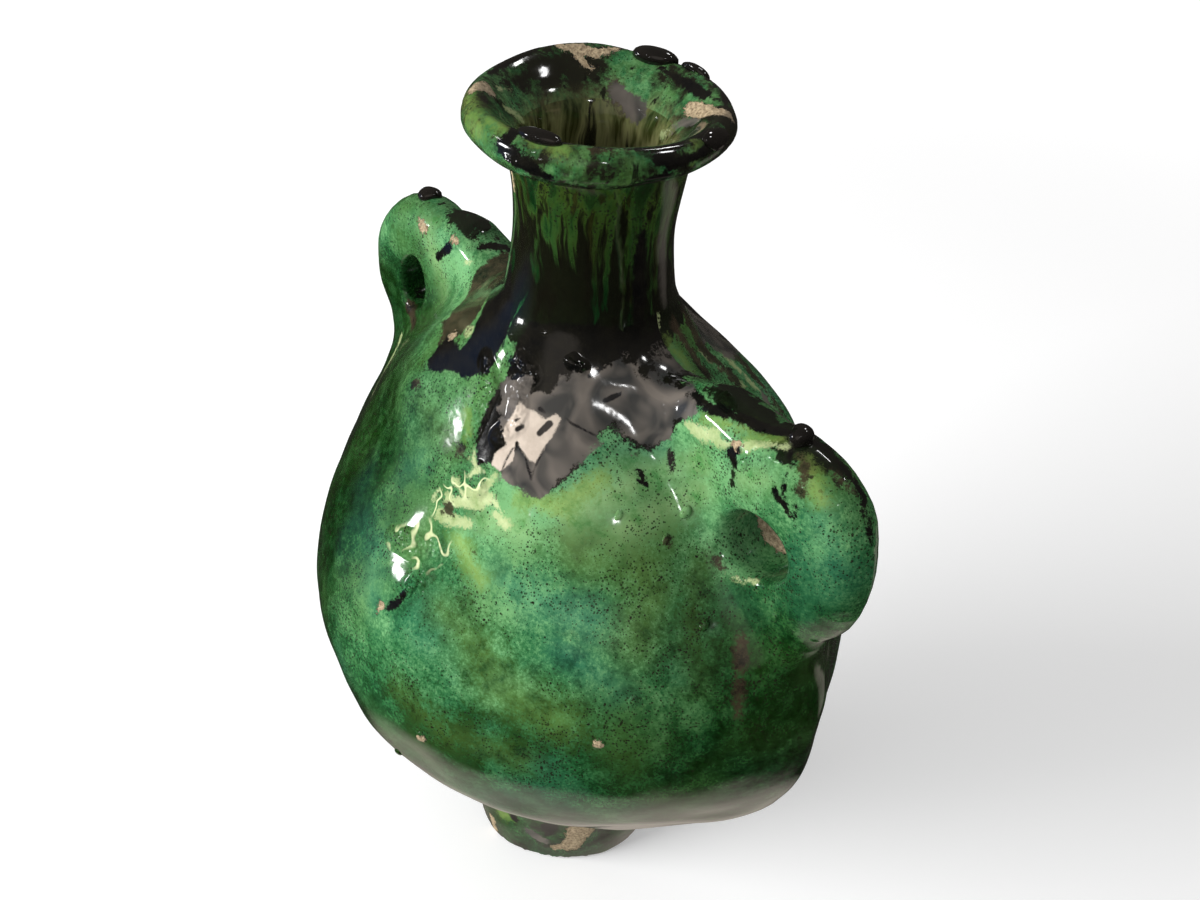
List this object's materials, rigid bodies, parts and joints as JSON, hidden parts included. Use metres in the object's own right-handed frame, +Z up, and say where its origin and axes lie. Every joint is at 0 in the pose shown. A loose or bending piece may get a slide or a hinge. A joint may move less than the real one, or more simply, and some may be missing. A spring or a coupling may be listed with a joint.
{
  "type": "two-lugged flask vase",
  "caption": "Glazed stoneware flask vase with a pinched belly, a pedestal foot, a straight neck, a rolled lip and pierced lugs.",
  "frame": {"origin": "centre of the standing ring, on the ground", "axes": "+Z up along the neck, +X along the seam towards the right lug, -Y is the front of the belly"},
  "size_m": [0.2672, 0.2016, 0.3495],
  "materials": {
    "green_glaze_front": "glossy mottled copper-green glaze with dark specks",
    "green_glaze_back": "glossy mottled copper-green glaze with dark specks",
    "dark_green_foot_glaze": "dark green glaze with bare tan clay patches",
    "streaked_neck_glaze": "glossy green glaze with dark running streaks",
    "mottled_lip_glaze": "glossy green and black glaze with chips down to the tan clay",
    "green_lug_glaze": "glossy green glaze, black along the ridge",
    "dark_lug_glaze": "glossy dark green glaze with brown patches",
    "black_glaze": "thick glassy black glaze"
  },
  "bodies": {
    "root": {"body_half_front": "green_glaze_front", "body_half_back": "green_glaze_back", "foot_ring": "dark_green_foot_glaze", "neck_tube": "streaked_neck_glaze", "lip_roll": "mottled_lip_glaze", "lug_right": "green_lug_glaze", "lug_left": "dark_lug_glaze", "lip_glaze_bead_front": "black_glaze", "lip_glaze_bead_back": "black_glaze", "lip_glaze_bead_side": "black_glaze", "lip_glaze_bead_end": "black_glaze", "lug_right_glaze_bead": "black_glaze", "lug_left_glaze_bead": "black_glaze"}
  },
  "joints": []
}
